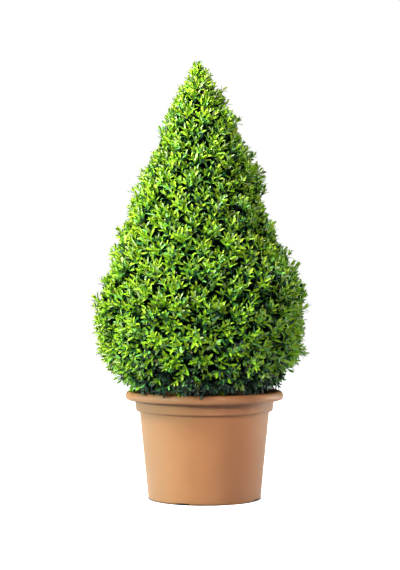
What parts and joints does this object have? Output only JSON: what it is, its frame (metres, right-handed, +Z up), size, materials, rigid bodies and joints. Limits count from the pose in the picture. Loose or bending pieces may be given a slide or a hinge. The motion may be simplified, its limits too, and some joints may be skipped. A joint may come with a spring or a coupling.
{
  "type": "boxwood cone topiary",
  "caption": "Boxwood shrub clipped to a broad cone with a domed foot, growing in a round tapered pot with a collar and a rolled lip.",
  "frame": {"origin": "centre of the pot's flat underside, on the surface the pot stands on", "axes": "+Z up along the plant; -Y is the front that the picture shows, and +X is the picture's right"},
  "size_m": [0.4489, 0.452, 0.905],
  "materials": {
    "terracotta": "satin terracotta-coloured plastic, lightly weathered",
    "potting_mix": "dark, moist and crumbly",
    "bark": "pale grey-brown bark with fine furrows",
    "foliage": "small glossy leaves, yellow-green at the shoot tips and deep green inside"
  },
  "bodies": {
    "root": {"pot": "terracotta", "potting_mix": "potting_mix", "stem": "bark", "bough_1": "bark", "bough_2": "bark", "bough_3": "bark", "bough_4": "bark", "bough_5": "bark", "bough_6": "bark", "bough_7": "bark", "bough_8": "bark", "clipped_crown": "foliage"}
  },
  "joints": []
}
